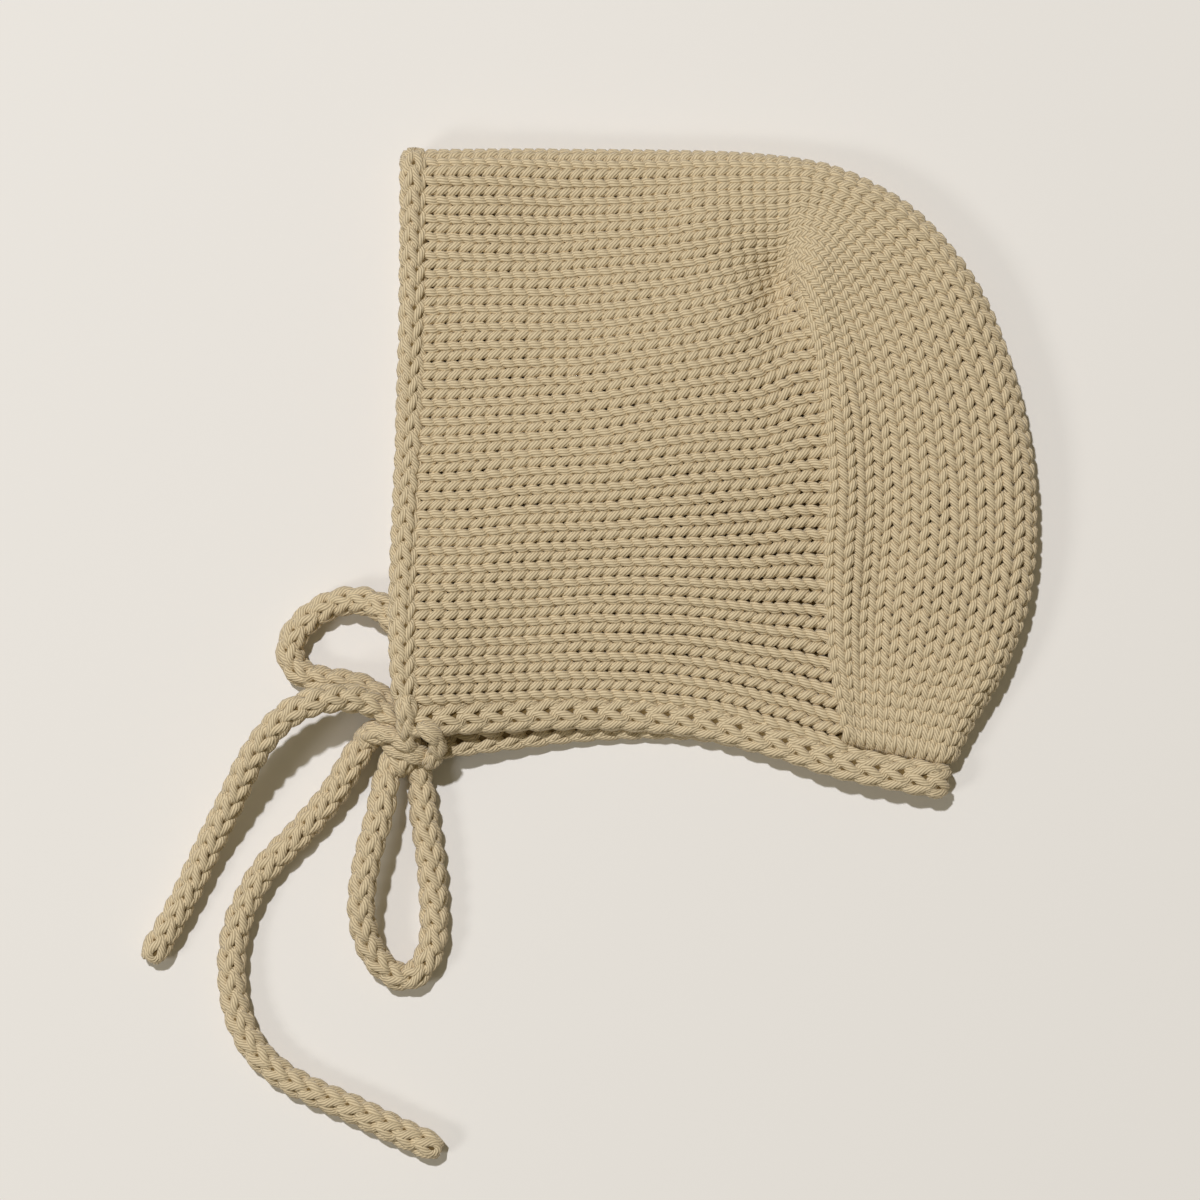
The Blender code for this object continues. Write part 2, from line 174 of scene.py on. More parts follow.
relief = (  # middle and reach, as depth and height shares, and rise
    (0.03, 0.50, 0.22, 3.00, frontRise),
    (0.03, 0.21, 0.11, 0.17, bowRise),
    (0.42, 0.15, 0.34, 0.16, neckRise - bonnet["neckSag"]),
    (0.86, 0.07, 0.12, 0.12, neckRise),
    (0.42, 0.58, 0.24, 0.24, loft),
    (0.84, 0.48, 0.10, 0.24, 0.5 * loft),
    (0.482, 0.874, 0.055, 0.06, 0.0020),  # the crown's fold before the dimple
    (0.600, 0.785, 0.045, 0.070, -0.0072),  # the dimple by the back panel's corner
    (0.650, 0.795, 0.026, 0.050, 0.0026),  # the corner that stands up behind it
    (0.668, 0.735, 0.022, 0.05, bonnet["seamRidge"]),
    (0.700, 0.60, 0.022, 0.12, 1.2 * bonnet["seamRidge"]),
    (0.706, 0.34, 0.022, 0.20, 1.2 * bonnet["seamRidge"]),
    (0.765, 0.36, 0.040, 0.12, -0.0016),  # the hollow beside the seam
)


def onOutline(depthShare, heightShare):
    return Vector(((depthShare - 0.5) * bonnet["depth"], (heightShare - 0.5) * bonnet["height"]))


# points of the outline, from the dictionary's shares
def outlinePoints(name):
    return [onOutline(*row) for row in outline[name]]


# height of the near layer's outer face over the table
def topHeight(place):
    height = bonnet["foldHeight"]
    for depth, up, depthReach, heightReach, rise in relief:
        away = place - onOutline(depth, up)
        x = away.x / (depthReach * bonnet["depth"])
        y = away.y / (heightReach * bonnet["height"])
        height += rise * math.exp(-(x * x) - y * y)
    return height


def neckEdge(drop):
    lowered = bonnet["farNeckDrop"] * drop
    return [
        onOutline(depth, up) - Vector((0, lowered * share)) for depth, up, share in outline["neck"]]


# a flat patch between four lines: t runs from the fold to the inner line, w from start to end
def coonsPatch(fold, inner, start, end):
    def at(t, w):
        ruled = start(t).lerp(end(t), w)
        foldPull = fold(w) - start(0).lerp(end(0), w)
        innerPull = inner(w) - start(1).lerp(end(1), w)
        return ruled + foldPull * (1 - t) + innerPull * t

    return at


def seamLines(neck):
    points = outlinePoints("seam")
    return points[:2], smoothLine([*points[1:-1], neck[outline["neckPointsAtSide"] - 1]])


def sidePatch(drop):
    neck = neckEdge(drop)
    crown = smoothLine(outlinePoints("fold")[:outline["crownPoints"]])
    behind = Vector((bonnet["frontWidth"] / 2 - bonnet["tuck"], 0))
    front = [place + behind for place in outlinePoints("front")]
    front[0].y = crown[0].y
    front[-1].y = neck[0].y
    rowZero, seam = seamLines(neck)
    seam = [place + Vector((bonnet["underSeam"], 0)) for place in seam]
    end, endLength = alongLine(rowZero[:1] + seam)
    sideNeck = smoothLine([front[-1], *neck[1:outline["neckPointsAtSide"]]])
    crown[0] = front[0]
    corner = (rowZero[1] - rowZero[0]).length / endLength
    start = alongLine(smoothLine(front))[0]
    return coonsPatch(alongLine(crown)[0], alongLine(sideNeck)[0], start, end), corner


def backPatch(drop):
    neck = neckEdge(drop)
    fold = smoothLine(outlinePoints("fold"))[smoothSteps * (outline["crownPoints"] - 1):]
    rowZero, seam = seamLines(neck)
    neckLine = [neck[-1], neck[outline["neckPointsAtSide"] - 1]]
    seamAt = alongLine(seam)[0]
    fan = bonnet["cornerFan"]
    reach = 1 - fan * (1 - math.exp(-1 / fan))

    # the first rows turn about the panel's corner before they move down the seam
    def fanned(w):
        return seamAt((w - fan * (1 - math.exp(-w / fan))) / reach)

    return coonsPatch(alongLine(fold)[0], fanned, alongLine(rowZero)[0], alongLine(neckLine)[0])


foldSteps = 8  # in a quarter turn of the fold
clothSteps = 40  # from the fold to the edge


# middle of the folded cloth along one row of stitches, as its near half and its far half
def rowLines(near, far, w, corner):
    half = bonnet["cloth"] / 2
    reach = (near(0, w) - near(1, w)).length
    radius = topHeight(near(bonnet["foldHeight"] / 2 / reach, w)) / 2
    turn = radius / reach
    inner = (radius - half) / reach
    halves = []
    for patch, side in ((near, 1), (far, -1)):
        line = []
        for i in range(foldSteps + 1):
            angle = side * math.pi / 2 * i / foldSteps
            place = near(turn - inner * math.cos(angle), w)
            line.append(Vector((*place, radius + (radius - half) * math.sin(angle))))
        for i in range(1, clothSteps + 1):
            place = patch(turn + (1 - turn) * i / clothSteps, w)
            line.append(Vector((*place, topHeight(place) - half if side > 0 else half)))
        lengths = lengthsOf(line)
        step = (corner - turn) / (1 - turn) * clothSteps
        whole = int(step)
        past, following = lengths[foldSteps + whole:foldSteps + whole + 2]
        cornerShare = (past + (following - past) * (step - whole)) / lengths[-1]
        halves.append((line, lengths, cornerShare))
    return halves


# surfaces for the stitches: a grid two steps to a stitch, with half a stitch of margin all round
def surfaceMesh(name, grid, closedRound=False):
    rows = []
    for line in grid:
        if closedRound:
            rows.append([line[-2], *line, line[1]])
        else:
            rows.append([2 * line[0] - line[1], *line, 2 * line[-1] - line[-2]])
    first = [2 * a - b for a, b in zip(rows[0], rows[1])]
    last = [2 * a - b for a, b in zip(rows[-1], rows[-2])]
    rows = [first, *rows, last]
    across = len(rows[0])
    points = [point for row in rows for point in row]
    faces = []
    for j in range(len(rows) - 1):
        for i in range(across - 1):
            k = j * across + i
            faces.append((k, k + 1, k + across + 1, k + across))
    mesh = bpy.data.meshes.new(name)
    mesh.from_pydata(points, [], faces)
    places = mesh.uv_layers.new(name="stitchPlace")
    outward = mesh.attributes.new("outward", "FLOAT_VECTOR", "POINT")
    for face in mesh.polygons:
        for loop in face.loop_indices:
            vertex = mesh.loops[loop].vertex_index
            u, v = vertex % across / (across - 1), vertex // across / (len(rows) - 1)
            places.data[loop].uv = (u, v)
    for j in range(len(rows)):
        for i in range(across):
            acrossStep = rows[j][min(i + 1, across - 1)] - rows[j][max(i - 1, 0)]
            alongStep = rows[min(j + 1, len(rows) - 1)][i] - rows[max(j - 1, 0)][i]
            outward.data[j * across + i].vector = alongStep.cross(acrossStep).normalized()
    return mesh


# how far the yarn wanders with each stitch, and how near the surface's edge it may come
hand = {"change": 0.83, "edge": 0.0002}


# the stitch tree: rows of knitted loops laid over a surface
def stitchTree():
    tree = bpy.data.node_groups.new("knitted stitches", "GeometryNodeTree")
    tree.interface.new_socket("Geometry", in_out="OUTPUT", socket_type="NodeSocketGeometry")
    for name, kind in (
        ("Surface", "Geometry"), ("First wale", "Float"), ("Wales", "Int"), ("All wales", "Float"),
        ("Rows", "Int"), ("Margin", "Float"), ("Steps per stitch", "Int"), ("Yarn diameter", "Float"),
        ("Yarn sides", "Int"), ("Loop lean", "Float"), ("Leg spread", "Float"), ("Loop height", "Float"),
        ("Loop depth", "Float"), ("Leg fullness", "Float"), ("Unevenness", "Float"), ("Seed", "Float"),
        ("Yarn", "Material"),
    ):
        tree.interface.new_socket(name, in_out="INPUT", socket_type="NodeSocket" + kind)
    given = addNode(tree, "NodeGroupInput").outputs
    line = addNode(tree, "GeometryNodeCurvePrimitiveLine")
    count = reckon(tree, "MULTIPLY_ADD", given["Wales"], given["Steps per stitch"], 1.0)
    resampled = addNode(tree, "GeometryNodeResampleCurve", None, {"Curve": line.outputs[0], "Count": count})
    row = addNode(tree, "GeometryNodeDuplicateElements", {"domain": "SPLINE"}, {
        "Geometry": resampled.outputs[0], "Amount": given["Rows"]})
    rowNumber = row.outputs["Duplicate Index"]
    share = addNode(tree, "GeometryNodeSplineParameter")
    wale = reckon(tree, "MULTIPLY_ADD", share.outputs["Factor"], given["Wales"], given["First wale"])
    turn = reckon(tree, "MULTIPLY", wale, math.tau)
    twice = reckon(tree, "MULTIPLY", turn, 2.0)
    back = reckon(tree, "COSINE", twice)
    # unevenness, as a hand knitter leaves it
    seedPlace = addNode(tree, "ShaderNodeCombineXYZ", None, {0: wale, 1: rowNumber, 2: given["Seed"]})
    change = addNode(tree, "ShaderNodeTexNoise", {"noise_dimensions": "3D"}, {
        "Vector": seedPlace.outputs[0], "Scale": hand["change"], "Detail": 1.0})
    offset = addNode(tree, "ShaderNodeVectorMath", {"operation": "SUBTRACT"}, {
        0: change.outputs["Color"], 1: (0.5, 0.5, 0.5)})
    uneven = addNode(tree, "ShaderNodeVectorMath", {"operation": "SCALE"}, {
        0: offset.outputs[0], "Scale": given["Unevenness"]})
    unevenParts = addNode(tree, "ShaderNodeSeparateXYZ", None, {0: uneven.outputs[0]})
    # a loop's place in wales and rows
    leaning = reckon(tree, "MULTIPLY_ADD", reckon(tree, "SINE", twice), given["Loop lean"], wale)
    spread = reckon(tree, "MULTIPLY_ADD", reckon(tree, "SINE", turn), given["Leg spread"], leaning)
    across = reckon(tree, "ADD", spread, unevenParts.outputs[0])
    rowMiddle = reckon(tree, "ADD", rowNumber, 0.5)
    upHead = reckon(tree, "MULTIPLY_ADD", reckon(tree, "COSINE", turn), given["Loop height"], rowMiddle)
    up = reckon(tree, "ADD", upHead, unevenParts.outputs[1])
    inside = []
    for way, many in ((across, given["All wales"]), (up, given["Rows"])):
        withMargin = reckon(tree, "ADD", way, given["Margin"])
        whole = reckon(tree, "MULTIPLY_ADD", given["Margin"], 2.0, many)
        inside.append(addNode(tree, "ShaderNodeClamp", None, {
            0: reckon(tree, "DIVIDE", withMargin, whole), 1: hand["edge"], 2: 1 - hand["edge"]}).outputs[0])
    place = addNode(tree, "ShaderNodeCombineXYZ", None, {0: inside[0], 1: inside[1]})
    position = addNode(tree, "GeometryNodeInputPosition")
    placeMap, outwardMap = (
        addNode(tree, "GeometryNodeInputNamedAttribute", {"data_type": "FLOAT_VECTOR"}, {"Name": name})
        for name in ("stitchPlace", "outward"))
    onSurface, outward = (
        addNode(tree, "GeometryNodeSampleUVSurface", {"data_type": "FLOAT_VECTOR"}, {
            "Mesh": given["Surface"], "Value": value.outputs[0],
            "UV Map": placeMap.outputs[0], "Sample UV": place.outputs[0]})
        for value in (position, outwardMap))
    sunk = addNode(tree, "ShaderNodeVectorMath", {"operation": "SCALE"}, {
        0: outward.outputs[0], "Scale": reckon(tree, "MULTIPLY", back, given["Loop depth"])})
    loopPlace = addNode(tree, "ShaderNodeVectorMath", {"operation": "SUBTRACT"}, {
        0: onSurface.outputs[0], 1: sunk.outputs[0]})
    # the legs are fuller than the heads, where the yarn is squeezed between its neighbours
    fullness = reckon(tree, "SUBTRACT", 1.0, reckon(tree, "MULTIPLY", back, given["Leg fullness"]))
    full = addNode(tree, "GeometryNodeSetCurveRadius", None, {"Curve": row.outputs[0], "Radius": fullness})
    yarnLine = addNode(tree, "GeometryNodeSetPosition", None, {
        "Geometry": full.outputs[0], "Position": loopPlace.outputs[0]})
    # how far along the yarn, and where round it, for the twist in the material
    along = addNode(tree, "GeometryNodeCaptureAttribute", {"domain": "POINT"})
    along.capture_items.new("FLOAT", "Along")
    tree.links.new(yarnLine.outputs[0], along.inputs[0])
    length = addNode(tree, "GeometryNodeSplineParameter")
    tree.links.new(length.outputs["Length"], along.inputs[1])
    circle = addNode(tree, "GeometryNodeCurvePrimitiveCircle", {"mode": "RADIUS"}, {
        "Resolution": given["Yarn sides"], "Radius": reckon(tree, "MULTIPLY", given["Yarn diameter"], 0.5)})
    roundShare = addNode(tree, "GeometryNodeSplineParameter")
    roundAngle = reckon(tree, "MULTIPLY", roundShare.outputs["Factor"], math.tau)
    roundPlace = addNode(tree, "ShaderNodeCombineXYZ", None, {
        0: reckon(tree, "COSINE", roundAngle), 1: reckon(tree, "SINE", roundAngle)})
    aroundYarn = addNode(tree, "GeometryNodeCaptureAttribute", {"domain": "POINT"})
    aroundYarn.capture_items.new("VECTOR", "Round")
    tree.links.new(circle.outputs[0], aroundYarn.inputs[0])
    tree.links.new(roundPlace.outputs[0], aroundYarn.inputs[1])
    yarn = addNode(tree, "GeometryNodeCurveToMesh", None, {
        "Curve": along.outputs[0], "Profile Curve": aroundYarn.outputs[0], "Fill Caps": True})
    alongPlace = addNode(tree, "ShaderNodeCombineXYZ", None, {2: along.outputs[1]})
    frameOfYarn = addNode(tree, "ShaderNodeVectorMath", {"operation": "ADD"}, {
        0: aroundYarn.outputs[1], 1: alongPlace.outputs[0]})
    stored = addNode(
        tree, "GeometryNodeStoreNamedAttribute", {"data_type": "FLOAT_VECTOR", "domain": "POINT"}, {
            "Geometry": yarn.outputs[0], "Name": "yarnFrame", "Value": frameOfYarn.outputs[0]})
    smooth = addNode(tree, "GeometryNodeSetShadeSmooth", None, {"Geometry": stored.outputs[0]})
    real = addNode(tree, "GeometryNodeRealizeInstances", None, {"Geometry": smooth.outputs[0]})
    finish = addNode(tree, "GeometryNodeSetMaterial", None, {
        "Geometry": real.outputs[0], "Material": given["Yarn"]})
    addNode(tree, "NodeGroupOutput", None, {0: finish.outputs[0]})
    return tree


stitches = stitchTree()


# runs the stitch tree on a surface and returns the plain mesh object
def knit(name, surface, values):
    holder = bpy.data.objects.new(name + "_surface", surface)
    bpy.context.scene.collection.objects.link(holder)
    modifier = holder.modifiers.new("stitches", "NODES")
    modifier.node_group = stitches
    for item in stitches.interface.items_tree:
        if item.in_out == "INPUT" and item.name in values:
            modifier[item.identifier] = values[item.name]
    bpy.context.view_layer.update()
    graph = bpy.context.evaluated_depsgraph_get()
    mesh = bpy.data.meshes.new_from_object(holder.evaluated_get(graph))
    mesh.name = name
    bpy.data.objects.remove(holder, do_unlink=True)
    piece = bpy.data.objects.new(name, mesh)
    bpy.context.scene.collection.objects.link(piece)
    mesh.calc_loop_triangles()
    print("knitted", name, len(mesh.loop_triangles), "triangles")
    return piece


# a new material with its shader's plain values
def newMaterial(name, surface):
    material = bpy.data.materials.new(name)
    material.use_nodes = True
    shader = material.node_tree.nodes["Principled BSDF"]
    for socket, value in surface.items():
        shader.inputs[socket].default_value = value
    return material, material.node_tree, shader


# Plied mercerised cotton, hand knitted: soft matte threads with fine bright plies that wind round the yarn,
# painted darker as shade in the hollows between them, and faint fibre fuzz.
def pliedCotton(name, values):
    material, tree, shader = newMaterial(name, values["surface"])
    yarnPlace = addNode(tree, "ShaderNodeAttribute", {"attribute_name": "yarnFrame"})
    parts = addNode(tree, "ShaderNodeSeparateXYZ", None, {0: yarnPlace.outputs["Vector"]})
    angle = reckon(tree, "ARCTAN2", parts.outputs[1], parts.outputs[0])
    roundPhase = reckon(tree, "MULTIPLY", angle, values["plies"] / 2)
    turnsAlong = values["hand"] * math.pi * values["plies"] / values["twistPitch"]
    alongPhase = reckon(tree, "MULTIPLY_ADD", parts.outputs[2], turnsAlong, roundPhase)
    ply = reckon(tree, "ABSOLUTE", reckon(tree, "SINE", alongPhase))
    objectPlace = addNode(tree, "ShaderNodeTexCoord")
    fibres = addNode(tree, "ShaderNodeTexNoise", None, {
        "Vector": objectPlace.outputs["Object"], "Scale": 1 / values["fibre"], "Detail": 3.0})
    # painted shade: the colour darkens towards the hollows between the plies
    paintedPlyShade = addNode(tree, "ShaderNodeMix", {"data_type": "RGBA"}, {
        0: ply, 6: linearColour(values["plyShadeColour"]), 7: linearColour(values["colour"])})
    tree.links.new(paintedPlyShade.outputs[2], shader.inputs["Base Color"])
    bump = addNode(tree, "ShaderNodeBump", None, {
        "Height": reckon(tree, "MULTIPLY_ADD", fibres.outputs["Fac"], values["fibreShare"], ply),
        "Strength": 1.0, "Distance": values["plyHeight"]})
    tree.links.new(bump.outputs[0], shader.inputs["Normal"])
    return material


yarnLooks = {
    "colour": "#dfcca6",
    # painted shade for the hollows between the plies
    "plyShadeColour": "#b5a17e",
    "surface": {
        "Roughness": 0.65, "Sheen Weight": 0.15, "Sheen Roughness": 0.5, "IOR": 1.53,
        "Specular IOR Level": 0.35,
    },
    "plies": 8,
    "twistPitch": 0.0105,  # length of yarn in which its plies go round once
    "hand": 1,  # -1 for plies that wind the other way
    "plyHeight": 0.00017,
    "fibre": 0.0004,
    "fibreShare": 0.5,  # height of the fibres, over that of the plies
}
cottonYarn = pliedCotton("plied cotton yarn", yarnLooks)


# The backs of the stitches, deep between the yarns, painted dark brown as the shade that falls there, in
# random patches, without relief.
def paintedShadeMaterial(name, values):
    material, tree, shader = newMaterial(name, values["surface"])
    place = addNode(tree, "ShaderNodeTexCoord")
    fuzz = addNode(tree, "ShaderNodeTexNoise", None, {
        "Vector": place.outputs["Object"], "Scale": 1 / values["fuzz"], "Detail": 3.0})
    shade = addNode(tree, "ShaderNodeMix", {"data_type": "RGBA"}, {
        0: fuzz.outputs["Fac"], 6: linearColour(values["dark"]), 7: linearColour(values["light"])})
    tree.links.new(shade.outputs[2], shader.inputs["Base Color"])
    return material


paintedShadeLooks = {
    # painted shade: dark browns in place of the shadow deep between the stitches
    "dark": "#6b5735",
    "light": "#7d6944",
    "surface": {"Roughness": 0.95, "Specular IOR Level": 0.1},
    "fuzz": 1 / 900,  # size of its patches of shade, in metres
}
paintedShadeCotton = paintedShadeMaterial("painted shade between the stitches", paintedShadeLooks)
print("cotton made")

# side panel
sideStitch = {
    "wales": 30,  # on each half, from the fold to the neck edge
    "rows": 31,
    "walesPastCorner": 10,  # these go on into the back panel
    "crowdedAtCorner": 0.2,  # how much closer the wales are there than halfway down the seam
    "Steps per stitch": 14,
    "Yarn diameter": 0.0026,
    "Yarn sides": 6,
    "Loop lean": 0.23,
    "Leg spread": 0.02,
    "Loop height": 0.80,
    "Loop depth": 0.0014,
    "Leg fullness": 0.2,
    "Unevenness": 0.16,
    "Seed": 3.0,
}

wander = {  # how the rows wander, in metres
    "reach": 0.026,  # how far apart their wanderings are
    "size": 0.0011,
    "upDown": 0.8,  # height of a wandering, over its size
    "walesFade": 6,  # they fade out over one in so many wales and rows, towards the edges
    "rowsFade": 8,
    "seed": 7,
}
noise.seed_set(wander["seed"])  # the same wanderings in each run


def wandered(place, share, w):
    across = wander["walesFade"] * min(share, 1 - share)
    along = wander["rowsFade"] * min(w, 1 - w)
    shift = noise.noise_vector(place / wander["reach"]) * wander["size"] * min(1, across, along)
    return place + Vector((shift.x, shift.y, shift.z * wander["upDown"]))


def smoothShare(x):
    x = min(max(x, 0), 1)
    return x * x * (3 - 2 * x)


def sideGrid():
    near, corner = sidePatch(0)
    far, _ = sidePatch(1)
    grid = []
    wales = sideStitch["wales"]
    turning = sideStitch["walesPastCorner"]
    for j in range(2 * sideStitch["rows"] + 1):
        w = j / 2 / sideStitch["rows"]
        halves = rowLines(near, far, w, corner)
        row = []
        for i in range(-2 * wales, 2 * wales + 1):
            line, lengths, cornerShare = halves[0] if i < 0 else halves[1]
            bend = turning / wales + (cornerShare - turning / wales) * w ** 3
            away = abs(i) / 2
            if away < turning:
                share = bend * away / turning
            else:
                below = (away - turning) / (wales - turning)
                crowd = sideStitch["crowdedAtCorner"] * w ** 2
                share = bend + (1 - bend) * (below - crowd * below * (1 - below))
            row.append(wandered(pointAt(line, lengths, share * lengths[-1]), share, w))
        grid.append(row)
    return grid


# the values that the stitch tree takes, which are the capitalised ones
def knitValues(given, **more):
    return {**{name: value for name, value in given.items() if name[0].isupper()}, **more}


sideLines = sideGrid()
sideSurface = surfaceMesh("side_panel", sideLines)
nearWales = sideStitch["wales"]
for name, firstWale, wales in (
    ("side_panel_near", -0.5, nearWales), ("side_panel_far", nearWales - 0.5, nearWales + 1),
):
    piece = knit(name, sideSurface.copy(), knitValues(sideStitch, **{
        "First wale": firstWale, "Wales": wales, "All wales": 2.0 * nearWales,
        "Rows": sideStitch["rows"], "Margin": 0.5, "Yarn": cottonYarn}))
    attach(piece, "root")
    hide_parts("side_panel")

# back panel
backStitch = {
    "wales": 11,  # on each half, from the fold to the seam
    "rows": 46,
    "seamWale": 1.1,  # width of the wale along the seam, over the others
    "seamFrom": 0.16,  # share of the rows over which that wale widens, from nothing at the corner
    "Steps per stitch": 14,
    "seamLift": 0.0007,  # how far that wale lies over the ends of the side panel's rows
    "seamShift": 0.0010,  # how far its middle lies behind the seam
    "Yarn diameter": 0.00245,
    "Yarn sides": 6,
    "Loop lean": 0.28,
    "Leg spread": 0.02,
    "Loop height": 0.78,
    "Loop depth": 0.0014,
    "Leg fullness": 0.2,
    "Unevenness": 0.16,
    "Seed": 11.0,
}


# over is 1 to lay the last wale over the ends of the side panel's rows
def backGrid(over):
    near = backPatch(0)
    far = backPatch(1)
    grid = []
    wales = backStitch["wales"]
    for j in range(2 * backStitch["rows"] + 1):
        w = j / 2 / backStitch["rows"]
        halves = rowLines(near, far, w, 0.5)
        wider = backStitch["seamWale"] * smoothShare(w / backStitch["seamFrom"]) - 1
        row = []
        for i in range(-2 * wales, 2 * wales + 1):
            line, lengths, _ = halves[0] if i < 0 else halves[1]
            away = abs(i) / 2
            atSeam = max(away - wales + 1, 0)
            share = (away + atSeam * wider) / (wales + wider)
            lift = backStitch["seamLift"] if i < 0 else 0
            shift = Vector((backStitch["seamShift"], 0, lift)) * atSeam * over
            row.append(wandered(pointAt(line, lengths, share * lengths[-1]), share, w) + shift)
        grid.append(row)
    return grid


backPiece = knit("back_panel_knit", surfaceMesh("back_panel", backGrid(1)), knitValues(backStitch, **{
    "First wale": -0.5, "Wales": 2 * backStitch["wales"] + 1, "All wales": 2.0 * backStitch["wales"],
    "Rows": backStitch["rows"], "Margin": 0.5, "Yarn": cottonYarn}))
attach(backPiece, "root")
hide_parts("back_panel")


# cords: knitted tubes round a core
def turningFrames(line):
    tangents = []
    for i in range(len(line)):
        tangents.append((line[min(i + 1, len(line) - 1)] - line[max(i - 1, 0)]).normalized())
    side = Vector((0, 0, 1)).cross(tangents[0]).normalized()
    frames = []
    for tangent in tangents:
        side = (side - tangent * side.dot(tangent)).normalized()
        frames.append((tangent, side))
    return frames


# points round a line: share of the way along decides the radius, and the wales may wind round
def tubeGrid(line, across, along, radius, wind=0):
    lengths = lengthsOf(line)
    even = [pointAt(line, lengths, lengths[-1] * j / along) for j in range(along + 1)]
    grid = []
    for j, (tangent, side) in enumerate(turningFrames(even)):
        other = side.cross(tangent)
        ring = []
        for i in range(across + 1):
            angle = math.tau * (i / across + wind * j / along)
            way = side * math.cos(angle) + other * math.sin(angle)
            ring.append(even[j] + way * radius(j / along))
        grid.append(ring)
    return grid


def closedTube(name, grid):
    shape = bmesh.new()
    rings = [[shape.verts.new(point) for point in ring[:-1]] for ring in grid]
    for ring, following in zip(rings, rings[1:]):
        for i in range(len(ring)):
            k = (i + 1) % len(ring)
            shape.faces.new((ring[i], ring[k], following[k], following[i]))
    shape.faces.new(rings[0])
    shape.faces.new(rings[-1])
    bmesh.ops.recalc_face_normals(shape, faces=shape.faces)
    mesh = bpy.data.meshes.new(name)
    shape.to_mesh(mesh)
    shape.free()
    mesh.shade_smooth()
    return mesh


# one object from a knitted piece and its core, each keeping its material
def joined(piece, core, material):
    shape = bmesh.new()
    shape.from_mesh(piece.data)
    known = len(shape.faces)
    shape.from_mesh(core)
    shape.faces.ensure_lookup_table()
    for face in shape.faces[known:]:
        face.material_index = 1
    shape.to_mesh(piece.data)
    shape.free()
    piece.data.materials.append(material)
    return piece


core = {  # what fills a cord or band, in metres
    "over": 0.0002,  # how far it lies outside the middle of the loops
    "cordSides": 12,
    "bandSides": 16,
}
cordStitch = {
    "wales": 4,
    "rowPitch": 0.0054,
    "Steps per stitch": 14,
    "Yarn diameter": 0.0026,
    "Yarn sides": 6,
    "Loop lean": 0.33,
    "Leg spread": -0.015,
    "Loop height": 0.64,
    "Loop depth": 0.0007,
    "Leg fullness": 0.12,
    "Unevenness": 0.1,
    "wind": 2.5,  # turns of the wales round a metre of the cord
    "squeezed": 0.012,  # length over which a cord thins towards the knot
    "squeezedTo": 0.66,
}


def knitCord(name, line, diameter, seed, taper=None):
    length = lengthsOf(line)[-1]
    thin = diameter / bonnet["tie"]
    rows = max(round(length / cordStitch["rowPitch"]), 2)
    yarn = cordStitch["Yarn diameter"] * thin ** 0.5
    surface = diameter / 2 - yarn / 2 - cordStitch["Loop depth"]
    shape = taper or (lambda share: 1)
    wind = cordStitch["wind"] * length
    wales = cordStitch["wales"]
    grid = tubeGrid(line, 2 * wales, 2 * rows, lambda share: surface * shape(share), wind)
    piece = knit(name, surfaceMesh(name, grid, True), knitValues(cordStitch, **{
        "First wale": 0.0, "Wales": wales, "All wales": float(wales), "Rows": rows,
        "Margin": 0.5, "Yarn diameter": yarn, "Seed": seed, "Yarn": cottonYarn}))
    # the core is painted dark as the shade inside the cord, seen between its loops
    coreGrid = tubeGrid(
        line, core["cordSides"], 2 * rows, lambda share: (surface + core["over"]) * shape(share))
    return joined(piece, closedTube(name + "_core", coreGrid), paintedShadeCotton)


# thinner where the cord is pulled into the knot
def intoKnotTaper(line, before, after):
    length = lengthsOf(line)[-1]

    def taper(share):
        ends = []
        if before:
            ends.append(share * length / cordStitch["squeezed"])
        if after:
            ends.append((1 - share) * length / cordStitch["squeezed"])
        return cordStitch["squeezedTo"] + (1 - cordStitch["squeezedTo"]) * smoothShare(min(ends))

    return taper


ties = {  # paths, in mm
    "tie_loop_upper": (
        (-79.6, -60.6, 11.4), (-79.0, -55.0, 11.7), (-78.9, -47.0, 11.8), (-80.8, -39.0, 11.4),
        (-86.5, -33.0, 8.8), (-95.5, -31.8, 5.2), (-104.5, -36.0, 4.4), (-109.8, -43.5, 4.3),
        (-107.6, -50.0, 4.3), (-100.6, -52.6, 4.3), (-94.2, -53.4, 4.4), (-88.8, -55.4, 4.5),
    ),
    "tie_end_upper": (
        (-86.5, -59.3, 13.6), (-91.0, -57.4, 14.8), (-96.0, -56.8, 16.8), (-102.0, -57.6, 18.8),
        (-107.5, -59.8, 19.4), (-113.6, -65.0, 18.0), (-119.4, -73.2, 14.2), (-124.9, -84.2, 9.6),
        (-130.9, -95.8, 5.8), (-137.9, -110.3, 4.3), (-145.6, -124.0, 4.3),
    ),
    "tie_end_lower": (
        (-89.5, -68.0, 6.5), (-92.8, -72.5, 6.5), (-98.5, -82.0, 5.6), (-107.0, -92.0, 4.7),
        (-116.4, -101.8, 4.3), (-122.6, -113.3, 4.3), (-125.0, -125.0, 4.3), (-123.9, -138.0, 4.3),
        (-119.2, -148.2, 4.3), (-111.8, -155.2, 4.3), (-102.9, -160.0, 4.3), (-93.6, -164.0, 4.3),
        (-83.0, -169.2, 4.3), (-72.0, -174.2, 4.3),
    ),
    "tie_loop_lower": (
        (-84.2, -76.0, 8.0), (-86.0, -86.5, 10.6), (-89.4, -99.0, 11.4), (-91.0, -112.0, 9.6),
        (-88.6, -122.5, 6.4), (-82.7, -129.2, 4.3), (-77.0, -129.0, 4.3), (-72.8, -121.5, 4.3),
        (-72.4, -111.0, 4.3), (-73.3, -99.0, 4.3), (-75.0, -87.5, 4.3), (-75.7, -78.6, 4.6),
    ),
}
